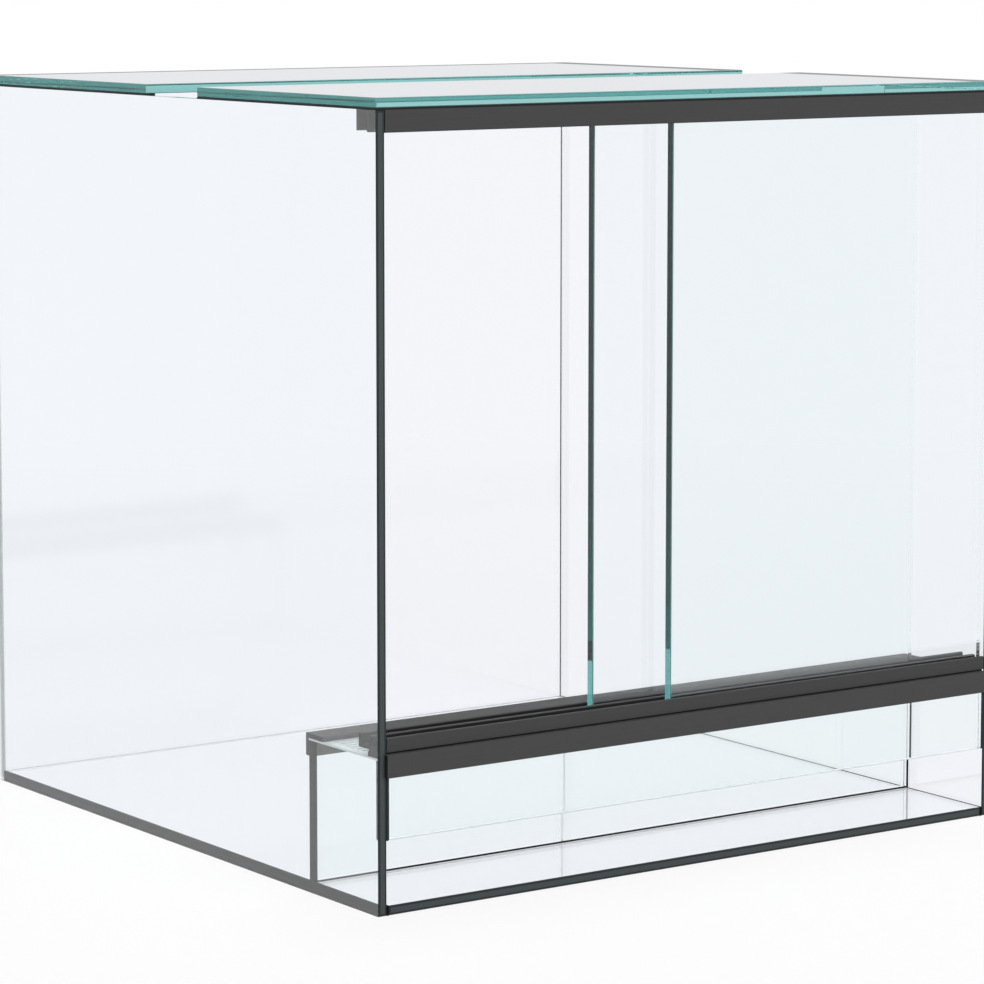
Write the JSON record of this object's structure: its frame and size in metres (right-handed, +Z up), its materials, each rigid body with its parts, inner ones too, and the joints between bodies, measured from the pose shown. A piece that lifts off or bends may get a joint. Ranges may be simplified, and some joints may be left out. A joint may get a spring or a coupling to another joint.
{
  "type": "reptile terrarium",
  "caption": "Front-opening glass terrarium with sliding doors in double runners, a substrate dam, an air inlet chamber below the doors and an open slot across the roof.",
  "frame": {"origin": "centre of the bounding box at the underside, on the surface the tank stands on", "axes": "+X to the tank's right as seen from the front, +Y to the rear, +Z up"},
  "size_m": [0.4, 0.3984, 0.401],
  "materials": {
    "tank_glass": "clear float glass",
    "roof_glass": "clear float glass with green ground edges",
    "door_glass": "clear float glass with green ground edges",
    "profile": "satin charcoal extrusion",
    "vent_sheet": "pale satin sheet",
    "silicone": "cured black silicone",
    "clear_silicone": "cured clear silicone"
  },
  "bodies": {
    "tank": {"base_pane": "tank_glass", "left_side_pane": "tank_glass", "right_side_pane": "tank_glass", "rear_pane": "tank_glass", "riser_pane": "tank_glass", "drop_pane": "tank_glass", "front_lid_pane": "roof_glass", "rear_lid_pane": "roof_glass", "riser_angle": "profile", "front_angle": "profile", "lower_runner": "profile", "upper_runner": "profile", "vent_strip": "vent_sheet", "base_left_seam": "clear_silicone", "base_right_seam": "clear_silicone", "base_rear_seam": "clear_silicone", "rear_left_seam": "clear_silicone", "rear_right_seam": "clear_silicone", "riser_left_seam": "clear_silicone", "riser_right_seam": "clear_silicone", "drop_left_seam": "clear_silicone", "drop_right_seam": "clear_silicone", "riser_base_seam": "silicone", "riser_angle_bond": "silicone", "runner_bond": "silicone", "front_lid_seam": "silicone", "rear_lid_seam": "silicone"},
    "left_door": {"left_door": "door_glass"},
    "right_door": {"right_door": "door_glass"}
  },
  "joints": [
    {"name": "left_door_slide", "type": "slide", "parent": "tank", "child": "left_door", "axis": [1, 0, 0], "range_m": [-0.1344, 0.0425]},
    {"name": "right_door_slide", "type": "slide", "parent": "tank", "child": "right_door", "axis": [1, 0, 0], "range_m": [-0.1769, 0]}
  ]
}
